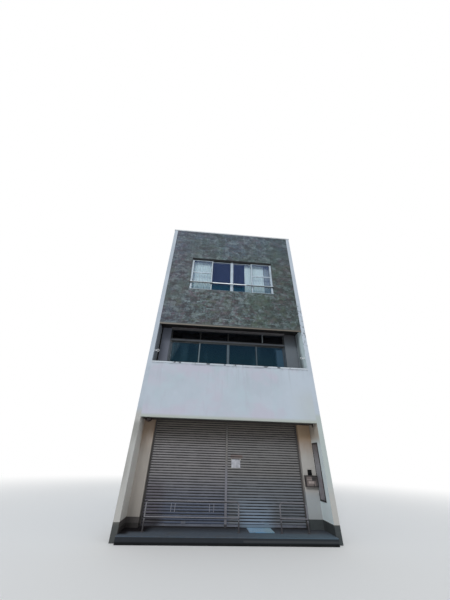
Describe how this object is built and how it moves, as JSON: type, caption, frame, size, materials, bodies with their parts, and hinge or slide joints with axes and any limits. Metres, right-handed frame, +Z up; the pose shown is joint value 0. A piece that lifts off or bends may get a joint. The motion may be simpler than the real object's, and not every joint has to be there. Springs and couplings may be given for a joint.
{
  "type": "three-storey shop house",
  "caption": "Narrow three-storey shop house with white side walls, a solid balcony front, a tiled upper facade and roller shutters over a recessed entrance.",
  "frame": {"origin": "centre of the building's footprint at ground level, porch and coping overhangs included", "axes": "+Z up, the front with the shutters faces -Y, +X to the right as seen from the front"},
  "size_m": [5.224, 8.132, 10.09],
  "materials": {
    "concrete": "bare trowelled concrete",
    "porch_mortar": "worn dark cement mortar",
    "plinth_mortar": "dark grey cement mortar",
    "white_paint": "white painted render with rain streaks",
    "jamb_render": "cream painted render",
    "ceiling_board": "weathered cement board",
    "coping_mortar": "pale trowelled mortar",
    "pier_render": "mauve grey render",
    "facing_tile": "small split-face tile in dark green, grey and brown",
    "brown_metal": "brown painted steel, chalked",
    "roof_coating": "grey green waterproof coating",
    "coping_metal": "dull anodised",
    "window_metal": "dull anodised",
    "window_glass": "clear, dusty",
    "shutter_steel": "grey painted steel, dusty",
    "guide_metal": "grey painted steel",
    "rail_paint": "grey painted pipe",
    "letterbox_metal": "red brown painted steel",
    "black_plastic": "matt",
    "sign_panel": "pale panel, weathered",
    "bracket_metal": "white painted steel",
    "mat_pile": "pale blue short pile",
    "curtain_cloth": "plain weave, grey green",
    "curtain_white": "plain weave, white",
    "notice_paper": "plain sheet"
  },
  "bodies": {
    "root": {"ground_floor_slab": "concrete", "porch_slab": "porch_mortar", "left_plinth": "plinth_mortar", "right_plinth": "plinth_mortar", "rear_plinth": "plinth_mortar", "left_side_wall": "white_paint", "right_side_wall": "white_paint", "rear_wall": "white_paint", "left_jamb_wall": "jamb_render", "right_jamb_wall": "jamb_render", "entrance_beam": "white_paint", "second_floor_slab": "concrete", "ceiling_boards": "ceiling_board", "balcony_parapet": "white_paint", "balcony_coping": "coping_mortar", "left_pier": "pier_render", "right_pier": "pier_render", "third_floor_beam": "concrete", "third_floor_slab": "concrete", "third_floor_front_wall": "white_paint", "tile_facing": "facing_tile", "drip_trim": "brown_metal", "roof_slab": "roof_coating", "side_copings": "coping_metal", "end_copings": "coping_metal", "balcony_window_frame": "window_metal", "balcony_window_sashes": "window_metal", "balcony_window_glass": "window_glass", "front_window_frame": "window_metal", "front_window_sashes": "window_metal", "front_window_glass": "window_glass", "window_guard_bar": "window_metal", "rear_windows": "window_metal", "rear_window_glass": "window_glass", "left_shutter": "shutter_steel", "right_shutter": "shutter_steel", "shutter_guides": "guide_metal", "left_guard_rail": "rail_paint", "right_guard_rail": "rail_paint", "letterbox": "letterbox_metal", "door_phone": "black_plastic", "sign_plate": "sign_panel", "laundry_pole_brackets": "bracket_metal", "door_mat": "mat_pile", "curtain_rails": "bracket_metal", "curtains": "curtain_cloth"}
  },
  "joints": []
}
